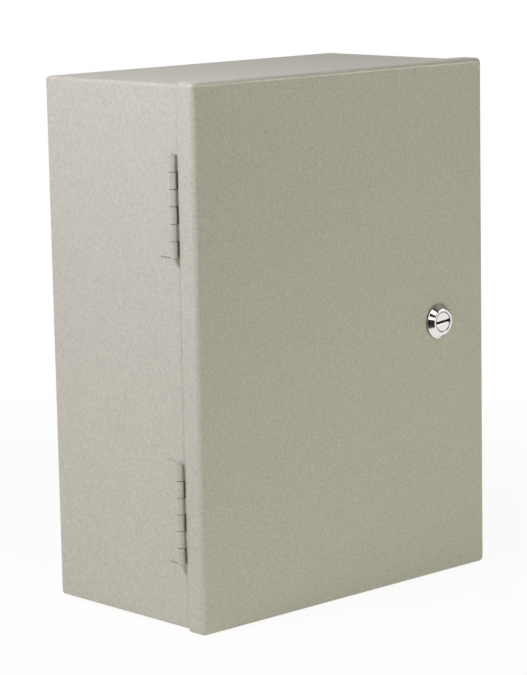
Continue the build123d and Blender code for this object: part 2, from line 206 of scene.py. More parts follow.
@dataclass(frozen=True)
class TextureGroups:
    """Node groups behind the textures, all with the same sockets."""

    noise_roughness: float = 0.55  # strength of each finer layer of a noise, of the one before
    fine_share: float = 0.3  # size of the paint's fine grain, of its orange peel's
    cloud_share: float = 30.0  # size of the paint's clouds, of its orange peel's
    peel_height: float = 0.65  # orange peel's part of the paint's height, where the fine grain has the rest
    peel_tone: float = 0.8  # orange peel's part of the paint's speckle
    cloud_mix: float = 0.25  # most of the second colour that a cloud brings in
    paint_gloss_swing: float = 0.16  # how far the paint's roughness varies
    patch_share: float = 6.0  # size of the plating's patches, of its grain's
    swell_share: float = 8.0  # size of the foam's swells, of its cells'
    hollow_height: float = -0.6  # height of the hollows between cells, of the swells'
    foam_gloss_swing: float = 0.1  # how far the foam's roughness varies

    def build(self) -> dict[Texture, bpy.types.NodeTree]:
        """Builds every group.

        Returns:
            The groups by texture.
        """
        makers = {
            Texture.POWDER_COAT: self._powder_coat,
            Texture.PLATED_METAL: self._plated_metal,
            Texture.CELLULAR: self._cellular,
        }
        groups = {}
        for texture, maker in makers.items():
            tree = bpy.data.node_groups.new(texture.value, "ShaderNodeTree")
            self._add_sockets(tree)
            board = NodeBoard(tree)
            maker(board, board.add("NodeGroupInput"))
            groups[texture] = tree
        return groups

    def _add_sockets(self, tree: bpy.types.NodeTree) -> None:
        """Gives a group its named inputs and outputs.

        Args:
            tree: New node group.
        """
        inputs = {
            "Base Color": "NodeSocketColor",
            "Second Color": "NodeSocketColor",
            "Grain Size": "NodeSocketFloat",
            "Grain Depth": "NodeSocketFloat",
            "Variation": "NodeSocketFloat",
            "Roughness": "NodeSocketFloat",
        }
        outputs = {"Color": "NodeSocketColor", "Roughness": "NodeSocketFloat", "Normal": "NodeSocketVector"}
        for in_out, sockets in (("INPUT", inputs), ("OUTPUT", outputs)):
            for name, kind in sockets.items():
                tree.interface.new_socket(name, in_out=in_out, socket_type=kind)

    def _noise(self, board: NodeBoard, size: Value, detail: float) -> bpy.types.NodeSocket:
        """Adds noise on the piece's own coordinates.

        Args:
            board: Tree that gets the nodes.
            size: Size of the noise's bumps in metres.
            detail: Finer layers that are added to it.

        Returns:
            The noise, from 0 to 1.
        """
        values = {
            "Vector": board.add("ShaderNodeTexCoord").outputs["Object"],
            "Scale": board.math("DIVIDE", 1.0, size),
            "Detail": detail,
            "Roughness": self.noise_roughness,
        }
        return board.add("ShaderNodeTexNoise", values).outputs[0]

    def _powder_coat(self, board: NodeBoard, source: bpy.types.Node) -> None:
        """Sprayed and baked paint: a soft orange peel with a finer grain in it.

        Args:
            board: Tree that gets the nodes.
            source: Inputs of the group.
        """
        size = source.outputs["Grain Size"]
        peel = self._noise(board, size, detail=1.0)
        grain = self._noise(board, board.math("MULTIPLY", size, self.fine_share), detail=2.0)
        cloud = self._noise(board, board.math("MULTIPLY", size, self.cloud_share), detail=2.0)
        height = self._weighed(board, peel, grain, self.peel_height)
        speckle = self._weighed(board, peel, grain, self.peel_tone)
        tone = board.around(1.0, speckle, source.outputs["Variation"])
        toned = {"Scale": tone, 0: source.outputs["Base Color"]}
        colour = board.add("ShaderNodeVectorMath", toned, operation="SCALE").outputs[0]
        amount = board.math("MULTIPLY", cloud, self.cloud_mix)
        colour = self._mix(board, amount, colour, source.outputs["Second Color"])
        roughness = board.around(source.outputs["Roughness"], grain, self.paint_gloss_swing)
        self._finish(board, source, colour, roughness, height)

    def _plated_metal(self, board: NodeBoard, source: bpy.types.Node) -> None:
        """Plating: patches of a second colour and a fine grain that scatters the gloss.

        Args:
            board: Tree that gets the nodes.
            source: Inputs of the group.
        """
        size = source.outputs["Grain Size"]
        patches = self._noise(board, board.math("MULTIPLY", size, self.patch_share), detail=3.0)
        grain = self._noise(board, size, detail=3.0)
        amount = board.math("MULTIPLY", patches, source.outputs["Variation"])
        colour = self._mix(board, amount, source.outputs["Base Color"], source.outputs["Second Color"])
        roughness = board.around(source.outputs["Roughness"], patches, source.outputs["Roughness"])
        self._finish(board, source, colour, roughness, grain)

    def _cellular(self, board: NodeBoard, source: bpy.types.Node) -> None:
        """Foam or rubber skin: small cells, with a second colour in the hollows between them.

        Args:
            board: Tree that gets the nodes.
            source: Inputs of the group.
        """
        size = source.outputs["Grain Size"]
        place = board.add("ShaderNodeTexCoord").outputs["Object"]
        scale = board.math("DIVIDE", 1.0, size)
        cells = board.add("ShaderNodeTexVoronoi", {"Vector": place, "Scale": scale}).outputs["Distance"]
        swell = self._noise(board, board.math("MULTIPLY", size, self.swell_share), detail=2.0)
        amount = board.math("MULTIPLY", cells, source.outputs["Variation"])
        colour = self._mix(board, amount, source.outputs["Base Color"], source.outputs["Second Color"])
        height = board.math("ADD", board.math("MULTIPLY", cells, self.hollow_height), swell)
        roughness = board.around(source.outputs["Roughness"], swell, self.foam_gloss_swing)
        self._finish(board, source, colour, roughness, height)

    def _weighed(
        self,
        board: NodeBoard,
        first: bpy.types.NodeSocket,
        second: bpy.types.NodeSocket,
        share: float,
    ) -> bpy.types.NodeSocket:
        """Adds two patterns, the first by its share and the second by the rest."""
        rest = board.math("MULTIPLY", second, 1.0 - share)
        return board.math("ADD", board.math("MULTIPLY", first, share), rest)

    def _mix(
        self,
        board: NodeBoard,
        amount: bpy.types.NodeSocket,
        first: bpy.types.NodeSocket,
        second: bpy.types.NodeSocket,
    ) -> bpy.types.NodeSocket:
        """Mixes two colours, with the given amount of the second one."""
        values = {MIX_FACTOR: amount, MIX_FIRST: first, MIX_SECOND: second}
        return board.add("ShaderNodeMix", values, data_type="RGBA").outputs[MIX_RESULT]

    def _finish(
        self,
        board: NodeBoard,
        source: bpy.types.Node,
        colour: bpy.types.NodeSocket,
        roughness: bpy.types.NodeSocket,
        height: bpy.types.NodeSocket,
    ) -> None:
        """Links a group's colour, roughness and bumped normal to its outputs.

        Args:
            board: Tree of the group.
            source: Inputs of the group.
            colour: Colour over the surface.
            roughness: Roughness over the surface.
            height: Height of the bumps, from 0 to 1.
        """
        bump = {"Distance": source.outputs["Grain Depth"], "Height": height}
        normal = board.add("ShaderNodeBump", bump).outputs["Normal"]
        board.add("NodeGroupOutput", {"Color": colour, "Roughness": roughness, "Normal": normal})


@dataclass(frozen=True)
class Finish:
    """A surface finish, made of a shared texture with its own values."""

    slot: Slot | Look
    texture: Texture
    colour: Colour
    second_colour: Colour
    grain_size: float
    grain_depth: float
    variation: float
    roughness: float
    metallic: float = 0.0
    specular: float = 0.5

    def material(self, groups: dict[Texture, bpy.types.NodeTree]) -> bpy.types.Material:
        """Builds the material.

        Args:
            groups: Node groups by texture.

        Returns:
            The material, named after its slot.
        """
        material = bpy.data.materials.new(self.slot.value + "_finish")
        material.use_nodes = True
        board = NodeBoard(material.node_tree)
        board.tree.nodes.clear()
        skin = board.add("ShaderNodeGroup", node_tree=groups[self.texture])
        values = {
            "Base Color": (*self.colour, 1.0),
            "Second Color": (*self.second_colour, 1.0),
            "Grain Size": self.grain_size,
            "Grain Depth": self.grain_depth,
            "Variation": self.variation,
            "Roughness": self.roughness,
        }
        for name, value in values.items():
            skin.inputs[name].default_value = value
        shader_inputs = {
            "Base Color": skin.outputs["Color"],
            "Roughness": skin.outputs["Roughness"],
            "Normal": skin.outputs["Normal"],
            "Metallic": self.metallic,
            "Specular IOR Level": self.specular,
        }
        shader = board.add("ShaderNodeBsdfPrincipled", shader_inputs)
        board.add("ShaderNodeOutputMaterial", {"Surface": shader.outputs["BSDF"]})
        return material


FINISHES = (
    Finish(
        slot=Slot.CABINET_PAINT,
        texture=Texture.POWDER_COAT,
        colour=(0.49, 0.475, 0.37),
        second_colour=(0.47, 0.455, 0.35),
        grain_size=2.1 * MM,
        grain_depth=0.1 * MM,
        variation=0.6,
        roughness=0.34,
    ),
    Finish(
        slot=Slot.PANEL_PAINT,
        texture=Texture.POWDER_COAT,
        colour=(0.8, 0.8, 0.775),
        second_colour=(0.77, 0.77, 0.745),
        grain_size=2.0 * MM,
        grain_depth=0.04 * MM,
        variation=0.06,
        roughness=0.4,
    ),
    Finish(
        slot=Slot.LATCH_CHROME,
        texture=Texture.PLATED_METAL,
        colour=(0.82, 0.79, 0.775),
        second_colour=(0.74, 0.7, 0.69),
        grain_size=1.2 * MM,
        grain_depth=0.0012 * MM,
        variation=0.5,
        roughness=0.07,
        metallic=1.0,
    ),
    # Painted shade: a near-black, rougher metal for the faces deep in the latch's bore, slot and the gap
    # round its core
    Finish(
        slot=Look.DULL_METAL,
        texture=Texture.PLATED_METAL,
        colour=(0.09, 0.085, 0.08),
        second_colour=(0.04, 0.038, 0.036),
        grain_size=0.5 * MM,
        grain_depth=0.01 * MM,
        variation=0.8,
        roughness=0.55,
        metallic=0.6,
    ),
    Finish(
        slot=Slot.ZINC_PLATE,
        texture=Texture.PLATED_METAL,
        colour=(0.64, 0.66, 0.68),
        second_colour=(0.6, 0.57, 0.47),
        grain_size=0.7 * MM,
        grain_depth=0.006 * MM,
        variation=0.8,
        roughness=0.3,
        metallic=1.0,
    ),
    Finish(
        slot=Slot.HINGE_STEEL,
        texture=Texture.PLATED_METAL,
        colour=(0.5, 0.485, 0.41),
        second_colour=(0.36, 0.35, 0.33),
        grain_size=0.6 * MM,
        grain_depth=0.008 * MM,
        variation=0.9,
        roughness=0.4,
        metallic=0.3,
    ),
    Finish(
        slot=Slot.GASKET_FOAM,
        texture=Texture.CELLULAR,
        colour=(0.035, 0.035, 0.036),
        second_colour=(0.012, 0.012, 0.012),
        grain_size=0.7 * MM,
        grain_depth=0.12 * MM,
        variation=0.9,
        roughness=0.85,
        specular=0.3,
    ),
    Finish(
        slot=Slot.SEAL_RUBBER,
        texture=Texture.CELLULAR,
        colour=(0.018, 0.018, 0.018),
        second_colour=(0.03, 0.03, 0.03),
        grain_size=0.5 * MM,
        grain_depth=0.01 * MM,
        variation=0.7,
        roughness=0.6,
    ),
)


def deselect_all() -> None:
    """Clears the selection, which the loaded nodes fill."""
    for item in list(bpy.context.selected_objects):
        item.select_set(False)


def make_active(piece: bpy.types.Object) -> None:
    """Makes a piece the only selected and active one.

    Args:
        piece: Piece for the next operators.
    """
    deselect_all()
    piece.select_set(True)
    bpy.context.view_layer.objects.active = piece


@contextmanager
def editing(piece: bpy.types.Object) -> Iterator[None]:
    """Opens a piece in edit mode with all its mesh selected, and closes it again.

    Args:
        piece: Mesh object to edit.
    """
    make_active(piece)
    bpy.ops.object.mode_set(mode="EDIT")
    bpy.ops.mesh.select_mode(type="VERT")
    bpy.ops.mesh.select_all(action="SELECT")
    yield
    bpy.ops.object.mode_set(mode="OBJECT")


def new_primitive(name: str, add: Callable, **values: object) -> bpy.types.Object:
    """Adds a primitive by itself.

    Args:
        name: Name of the new object.
        add: Operator that adds the primitive.
        values: What the operator takes.

    Returns:
        The new object, the only one selected.
    """
    deselect_all()
    add(**values)
    piece = bpy.context.object
    piece.name = name
    return piece


def close_mesh() -> None:
    """Merges doubled points of the mesh in edit mode and turns its faces outwards."""
    bpy.ops.mesh.select_all(action="SELECT")
    bpy.ops.mesh.remove_doubles(threshold=MERGE_DISTANCE)
    bpy.ops.mesh.normals_make_consistent(inside=False)


def turned(name: str, outline: Sequence[Point], steps: int = TURN_STEPS) -> bpy.types.Object:
    """Turns an outline round +Z.

    Args:
        name: Name of the piece.
        outline: Points as radius and height, in order. It starts and ends on the axis, or at one point.
        steps: Steps round the axis.

    Returns:
        The turned piece.
    """
    piece = new_primitive(name, bpy.ops.mesh.primitive_plane_add, size=MM)
    with editing(piece):
        bpy.ops.mesh.merge(type="CENTER")
        bpy.ops.transform.translate(value=(outline[0][0], 0.0, outline[0][1]))
        for (radius, height), (next_radius, next_height) in zip(outline, outline[1:]):
            step = (next_radius - radius, 0.0, next_height - height)
            bpy.ops.mesh.extrude_region_move(TRANSFORM_OT_translate={"value": step})
        bpy.ops.mesh.select_all(action="SELECT")
        bpy.ops.mesh.spin(steps=steps, angle=2 * math.pi, center=(0.0, 0.0, 0.0), axis=(0.0, 0.0, 1.0))
        close_mesh()
    return piece


def combine(piece: bpy.types.Object, tool: bpy.types.Object, joining: Joining) -> None:
    """Combines a piece with a tool and removes the tool.

    Args:
        piece: Closed piece that keeps the result.
        tool: Closed piece that is used up.
        joining: What is kept of the two.
    """
    modifier = piece.modifiers.new(joining.name.lower(), "BOOLEAN")
    modifier.operation = joining.value
    modifier.solver = "EXACT"
    modifier.object = tool
    make_active(piece)
    bpy.ops.object.modifier_apply(modifier=modifier.name)
    bpy.data.objects.remove(tool)


def soften(piece: bpy.types.Object, width: float, segments: int = 2, angle: float = 30.0) -> None:
    """Rounds the sharp edges of a piece.

    Args:
        piece: Closed mesh.
        width: Width of the rounding.
        segments: Steps across the rounding.
        angle: Edges sharper than this many degrees are rounded.
    """
    modifier = piece.modifiers.new("rounding", "BEVEL")
    modifier.width = width
    modifier.segments = segments
    modifier.limit_method = "ANGLE"
    modifier.angle_limit = math.radians(angle)
    modifier.use_clamp_overlap = False
    make_active(piece)
    bpy.ops.object.modifier_apply(modifier=modifier.name)


def softened_copy(node: str, name: str, width: float) -> bpy.types.Object:
    """Copies a solid with its sharp edges rounded.

    Args:
        node: Solid that is copied.
        name: Name of the new piece.
        width: Width of the rounding.

    Returns:
        The rounded copy.
    """
    piece = bpy.data.objects.new(name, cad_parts[node].data.copy())
    bpy.context.scene.collection.objects.link(piece)
    with editing(piece):
        bpy.ops.mesh.customdata_custom_splitnormals_clear()
        bpy.ops.mesh.remove_doubles(threshold=MERGE_DISTANCE)
        bpy.ops.mesh.dissolve_limited(angle_limit=FLAT_ANGLE)
    soften(piece, width)
    return piece


def join(pieces: Sequence[bpy.types.Object]) -> bpy.types.Object:
    """Joins pieces into one.

    Args:
        pieces: Pieces to join.

    Returns:
        The first piece, which takes up the others.
    """
    make_active(pieces[0])
    for piece in pieces:
        piece.select_set(True)
    bpy.ops.object.join()
    return pieces[0]


def place(piece: bpy.types.Object, point: Vector, facing: Facing) -> None:
    """Moves a piece from the origin to its place, in its mesh.

    Args:
        piece: Piece modelled along +Z at the origin.
        point: Where its origin goes.
        facing: Where its +Z points.
    """
    piece.matrix_world = Matrix.Translation(point) @ Matrix.Rotation(facing.value, 4, "X")
    make_active(piece)
    bpy.ops.object.transform_apply(location=True, rotation=True, scale=True)


def copies_at(piece: bpy.types.Object, points: Sequence[Vector], facing: Facing) -> bpy.types.Object:
    """Sets a piece and its copies at several points, as one object.

    Args:
        piece: Piece modelled along +Z at the origin.
        points: Where the copies go.
        facing: Where their +Z points.

    Returns:
        The joined object.
    """
    others = []
    for _ in points[1:]:
        other = bpy.data.objects.new(piece.name + "_copy", piece.data.copy())
        bpy.context.scene.collection.objects.link(other)
        others.append(other)
    everything = [piece, *others]
    for item, point in zip(everything, points):
        place(item, point, facing)
    return join(everything)


def cut_thread(piece: bpy.types.Object, wall: float, bottom: float, top: float, pitch: float) -> None:
    """Presses a screw thread into a round wall that has rings along it.

    Args:
        piece: Piece turned round +Z.
        wall: Radius of the wall, which is the thread's crest.
        bottom: Height where the thread starts.
        top: Height where the thread ends.
        pitch: Height of one turn.
    """
    depth = THREAD_DEPTH * pitch
    for vertex in piece.data.vertices:
        radius = math.hypot(vertex.co.x, vertex.co.y)
        if radius > wall - MERGE_DISTANCE and bottom < vertex.co.z < top:
            turn = math.atan2(vertex.co.y, vertex.co.x) / (2 * math.pi)
            height_share = (vertex.co.z / pitch - turn) % 1.0
            run_out = min(1.0, (vertex.co.z - bottom) / pitch, (top - vertex.co.z) / pitch)
            shrink = 1.0 - depth * run_out * (1.0 - abs(2 * height_share - 1.0)) / radius
            vertex.co.x *= shrink
            vertex.co.y *= shrink


def thread_rings(wall: float, bottom: float, top: float, pitch: float) -> list[Point]:
    """Outline points up a wall, close enough together to take a thread."""
    count = max(2, round(THREAD_RINGS * (top - bottom) / pitch))
    return [(wall, bottom + (top - bottom) * index / count) for index in range(count + 1)]


def hexagon_nut(name: str, across_flats: float, height: float, bore: float) -> bpy.types.Object:
    """Models a nut with chamfered corners and a countersunk bore.

    Args:
        name: Name of the piece.
        across_flats: Width across the flats, which lie above and below the axis.
        height: Height of the nut.
        bore: Radius of the bore.

    Returns:
        The nut, standing on the origin along +Z.
    """
    corner = across_flats / math.sqrt(3)
    nut = new_primitive(
        name,
        bpy.ops.mesh.primitive_cylinder_add,
        vertices=6,
        radius=corner,
        depth=height,
        location=(0.0, 0.0, height / 2),
        rotation=(0.0, 0.0, math.pi / 2),
    )
    bpy.ops.object.transform_apply(location=True, rotation=True, scale=True)
    face = NUT_FACE * across_flats / 2
    slope = math.tan(NUT_CHAMFER)
    rim = corner + (corner - face) * slope
    rim_drop = (rim - face) * slope
    blank = [
        (0.0, 0.0),
        (face, 0.0),
        (rim, rim_drop),
        (rim, height - rim_drop),
        (face, height),
        (0.0, height),
    ]
    combine(nut, turned(name + "_blank", blank), Joining.COMMON)
    flare = NUT_FLARE * bore
    past = CUTTER_OVERRUN * height
    bore_outline = [
        (0.0, -past),
        (bore + flare + past, -past),
        (bore, flare),
        (bore, height - flare),
        (bore + flare + past, height + past),
        (0.0, height + past),
    ]
    combine(nut, turned(name + "_bore", bore_outline), Joining.CUT)
    return nut


class Workshop:
    """Dresses pieces and solids, and hangs each new piece on its body."""

    def __init__(self) -> None:
        """Builds the finishes."""
        groups = TextureGroups().build()
        self.materials = {finish.slot: finish.material(groups) for finish in FINISHES}

    def dress_node(self, node: str, slot: Slot) -> None:
        """Gives a solid that stays in view its finish."""
        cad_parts[node].material_slots[0].material = self.materials[slot]
        LOG.info("solid %s dressed in %s", node, slot.value)

    def hand_over(self, piece: bpy.types.Object, body: Body, slot: Slot, *nodes: str) -> None:
        """Finishes a new piece.

        Args:
            piece: Piece in its place.
            body: Body that carries it.
            slot: Its finish.
            nodes: Solids that it stands for.
        """
        piece.data.materials.clear()
        piece.data.materials.append(self.materials[slot])
        make_active(piece)
        bpy.ops.object.shade_smooth_by_angle(angle=SMOOTH_ANGLE)
        modifier = piece.modifiers.new("flat_faces", "WEIGHTED_NORMAL")
        modifier.keep_sharp = True
        bpy.ops.object.modifier_apply(modifier=modifier.name)
        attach(piece, body.value)
        if nodes:
            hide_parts(*nodes)
        LOG.info("piece %s on %s: %d faces", piece.name, body.value, len(piece.data.polygons))

    def dull_and_shade(self, piece: bpy.types.Object, hidden: Callable[[Vector], bool]) -> None:
        """Gives the inside faces of a finished piece rougher, unpolished metal that is darkened as painted
        shade.

        Args:
            piece: Piece that has its finish.
            hidden: Tells whether a face's middle lies inside, where the painted shade goes.
        """
        # The second material is painted shade on rougher metal
        piece.data.materials.append(self.materials[Look.DULL_METAL])
        for face in piece.data.polygons:
            if hidden(face.center):
                face.material_index = 1


@dataclass
class PaintedShells:
    """The folded body and the door pan, which keep their solids."""

    shells: tuple[str, ...] = ("body_shell", "door_pan")

    def build(self, shop: Workshop) -> None:
        """Paints both shells."""
        for shell in self.shells:
            shop.dress_node(shell, Slot.CABINET_PAINT)


@dataclass
class ButtHinge:
    """A painted butt hinge: two leaves with rolled knuckles on one pin."""

    name: str
    edge_round: float = 0.2 * MM

    def build(self, shop: Workshop) -> None:
        """Rounds the leaves' edges and dresses the pin.

        Args:
            shop: Where pieces are dressed and hung on their bodies.
        """
        for side, body in (("body", Body.CABINET), ("door", Body.DOOR)):
            node = f"{self.name}_{side}_leaf"
            leaf = softened_copy(node, f"{self.name}_{side}_plate", self.edge_round)
            shop.hand_over(leaf, body, Slot.CABINET_PAINT, node)
        shop.dress_node(f"{self.name}_pin", Slot.HINGE_STEEL)


@dataclass
class DoorGasket:
    """Poured foam gasket inside the door, with the line that the collar's edge has pressed in it."""

    corner: float = 14.0 * MM  # outer radius of its corners
    corner_steps: int = 12
    width: float = 12.0 * MM
    # Width and height of the section, from its outer foot to its inner one
    section_shares: tuple[Point, ...] = (
        (0.0, 0.0),
        (0.015, 0.42),
        (0.07, 0.76),
        (0.17, 0.94),
        (0.3, 1.0),
        (0.41, 0.98),
        (0.46, 0.9),
        (0.54, 0.9),
        (0.59, 0.98),
        (0.7, 1.0),
        (0.83, 0.94),
        (0.93, 0.76),
        (0.985, 0.42),
        (1.0, 0.0),
    )

    def build(self, shop: Workshop) -> None:
        """Models the gasket as a rounded frame that is inset and raised step by step.

        Args:
            shop: Where pieces are dressed and hung on their bodies.
        """
        low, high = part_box("door_gasket")
        size = high - low
        gasket = new_primitive("foam_gasket", bpy.ops.mesh.primitive_plane_add, size=1.0)
        gasket.scale = (size.x, size.z, 1.0)
        bpy.ops.object.transform_apply(location=False, rotation=False, scale=True)
        with editing(gasket):
            bpy.ops.mesh.bevel(offset=self.corner, segments=self.corner_steps, affect="VERTICES")
            bpy.ops.mesh.select_mode(type="FACE")
            bpy.ops.mesh.select_all(action="SELECT")
            for share, next_share in zip(self.section_shares, self.section_shares[1:]):
                inward = (next_share[0] - share[0]) * self.width
                upward = (next_share[1] - share[1]) * size.y
                bpy.ops.mesh.inset(thickness=inward, depth=upward, use_even_offset=True)
            bpy.ops.mesh.delete(type="FACE")
            bpy.ops.mesh.select_mode(type="EDGE")
            bpy.ops.mesh.select_non_manifold()
            bpy.ops.mesh.bridge_edge_loops()
            close_mesh()
        foot = Vector(((low.x + high.x) / 2, low.y, (low.z + high.z) / 2))
        place(gasket, foot, Facing.BACK)
        shop.hand_over(gasket, Body.DOOR, Slot.GASKET_FOAM, "door_gasket")


@dataclass
class QuarterTurnLatch:
    """Chromed housing with a slotted core, its nut and seal, and the cam that the core turns."""

    face_radius: float = 10.1 * MM
    rim_height: float = 0.8 * MM
    bezel_height: float = 4.5 * MM
    barrel_radius: float = 11.0 * MM
    flat_half: float = 10.0 * MM  # axis to each of the barrel's flats
    core_gap: float = 0.35 * MM
    seat_depth: float = 4.4 * MM  # bezel's face to the seat behind the core's head
    spindle_radius: float = 6.0 * MM
    spindle_gap: float = 0.05 * MM
    groove_depth: float = 1.6 * MM
    groove_setback: float = 6.0 * MM
    groove_width: float = 2.2 * MM
    head_depth: float = 4.0 * MM
    tail_side: float = 8.0 * MM
    tail_length: float = 3.0 * MM
    slot_width: float = 2.2 * MM
    slot_depth: float = 2.6 * MM
    slot_tilt: float = math.radians(5.0)
    thread_pitch: float = 1.5 * MM
    edge_round: float = 0.3 * MM
    slot_shade_depth: float = 0.3 * MM  # how far the bright chrome goes into the slot before the painted shade starts
    ring_shade_depth: float = 0.01 * MM  # and into the gap round the core, before the painted shade starts
    nut_across_flats: float = 27.0 * MM
    cam_round: float = 0.4 * MM
    washer_round: float = 0.2 * MM
    screw_round: float = 0.35 * MM

    def __post_init__(self) -> None:
        """Takes the latch's place and main radii from its solids."""
        low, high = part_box("latch_housing")
        self.x = (low.x + high.x) / 2
        self.z = (low.z + high.z) / 2
        self.front = low.y
        self.barrel_end = high.y
        self.bezel_radius = (high.x - low.x) / 2
        core_low, core_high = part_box("latch_core")
        self.core_front = core_low.y
        self.core_end = core_high.y
        self.core_radius = (core_high.x - core_low.x) / 2

    def build(self, shop: Workshop) -> None:
        """Models and dresses every piece of the latch.

        Args:
            shop: Where pieces are dressed and hung on their bodies.
        """
        housing = self._housing()
        shop.hand_over(housing, Body.DOOR, Slot.LATCH_CHROME, "latch_housing")
        # The faces deep in the bore, the slot and the gap round the core get painted shade
        shop.dull_and_shade(housing, self._in_bore)
        core = self._core()
        shop.hand_over(core, Body.LATCH, Slot.LATCH_CHROME, "latch_core")
        shop.dull_and_shade(core, self._in_bore)
        shop.hand_over(self._nut(), Body.DOOR, Slot.ZINC_PLATE, "latch_nut")
        shop.dress_node("latch_seal", Slot.SEAL_RUBBER)
        shop.dress_node("latch_ring", Slot.SEAL_RUBBER)
        for node, name, rounding in (
            ("latch_cam", "pressed_cam", self.cam_round),
            ("cam_washer", "plain_washer", self.washer_round),
            ("cam_screw", "hexagon_screw", self.screw_round),
        ):
            shop.hand_over(softened_copy(node, name, rounding), Body.LATCH, Slot.ZINC_PLATE, node)

    def _at(self, depth: float) -> Vector:
        """Point on the latch axis at a depth along Y."""
        return Vector((self.x, depth, self.z))

    def _in_bore(self, point: Vector) -> bool:
        """Tells whether a point lies deep in the bore, the slot or further in, where painted shade goes.

        Args:
            point: Middle of a face of the housing or the core.

        Returns:
            Whether that face gets the painted shade on unpolished metal.
        """
        radius = math.hypot(point.x - self.x, point.z - self.z)
        by_gap = radius > self.core_radius - self.edge_round
        # Faces deeper than this get painted shade
        depth = self.ring_shade_depth if by_gap else self.slot_shade_depth
        reach = self.core_radius + self.core_gap + self.edge_round
        return point.y > self.core_front + depth and radius < reach

    def _housing(self) -> bpy.types.Object:
        """Models the bezel and its threaded barrel.

        Returns:
            Both as one piece, in its place.
        """
        bore = self.core_radius + self.core_gap
        spindle_bore = self.spindle_radius + self.spindle_gap
        top = self.bezel_height
        seat = top - self.seat_depth
        bezel = turned(
            "latch_bezel",
            [
                (bore, seat),
                (bore, top),
                (self.face_radius, top),
                (self.bezel_radius, self.rim_height),
                (self.bezel_radius, 0.0),
                (spindle_bore, 0.0),
                (spindle_bore, seat),
                (bore, seat),
            ],
        )
        soften(bezel, self.edge_round, segments=4, angle=25.0)
        length = self.barrel_end - self.front - self.bezel_height
        wall = thread_rings(self.barrel_radius, -length, 0.0, self.thread_pitch)
        barrel_outline = [(spindle_bore, 0.0), (spindle_bore, -length), *wall, (spindle_bore, 0.0)]
        barrel = turned("latch_barrel", barrel_outline)
        cut_thread(barrel, self.barrel_radius, -length, 0.0, self.thread_pitch)
        for side in (-1.0, 1.0):
            with editing(barrel):
                bpy.ops.mesh.bisect(
                    plane_co=(side * self.flat_half, 0.0, 0.0),
                    plane_no=(side, 0.0, 0.0),
                    use_fill=True,
                    clear_outer=True,
                )
        housing = join([bezel, barrel])
        place(housing, self._at(self.front + self.bezel_height), Facing.FRONT)
        return housing

    def _core(self) -> bpy.types.Object:
        """Models the slotted core with its spindle, ring groove and square tail.

        Returns:
            The core, in its place.
        """
        groove_top = -self.head_depth - self.groove_setback
        groove_bottom = groove_top - self.groove_width
        groove_radius = self.spindle_radius - self.groove_depth
        end = self.core_front - self.core_end
        spindle_end = end + self.tail_length
        outline = [
            (0.0, 0.0),
            (self.core_radius, 0.0),
            (self.core_radius, -self.head_depth),
            (self.spindle_radius, -self.head_depth),
            (self.spindle_radius, groove_top),
            (groove_radius, groove_top),
            (groove_radius, groove_bottom),
            (self.spindle_radius, groove_bottom),
            (self.spindle_radius, spindle_end),
            (0.0, spindle_end),
        ]
        core = turned("slotted_core", outline)
        slot = new_primitive("slot_cutter", bpy.ops.mesh.primitive_cube_add, size=1.0)
        # The cutter is twice as long as the core is wide, and half of it stands out of the core's face
        slot.scale = (4 * self.core_radius, self.slot_width, 2 * self.slot_depth)
        slot.rotation_euler = (0.0, 0.0, self.slot_tilt)
        bpy.ops.object.transform_apply(location=False, rotation=True, scale=True)
        combine(core, slot, Joining.CUT)
        soften(core, self.edge_round, segments=3, angle=35.0)
        tail = new_primitive(
            "core_tail",
            bpy.ops.mesh.primitive_cube_add,
            size=1.0,
            location=(0.0, 0.0, end + self.tail_length / 2),
        )
        tail.scale = (self.tail_side, self.tail_side, self.tail_length)
        bpy.ops.object.transform_apply(location=True, rotation=True, scale=True)
        soften(tail, self.edge_round)
        core = join([core, tail])
        place(core, self._at(self.core_front), Facing.FRONT)
        return core

    def _nut(self) -> bpy.types.Object:
        """Models the large nut behind the door.

        Returns:
            The nut, in its place.
        """
        low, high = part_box("latch_nut")
        nut = hexagon_nut("latch_hexagon_nut", self.nut_across_flats, high.y - low.y, self.barrel_radius)
        place(nut, self._at(low.y), Facing.BACK)
        return nut


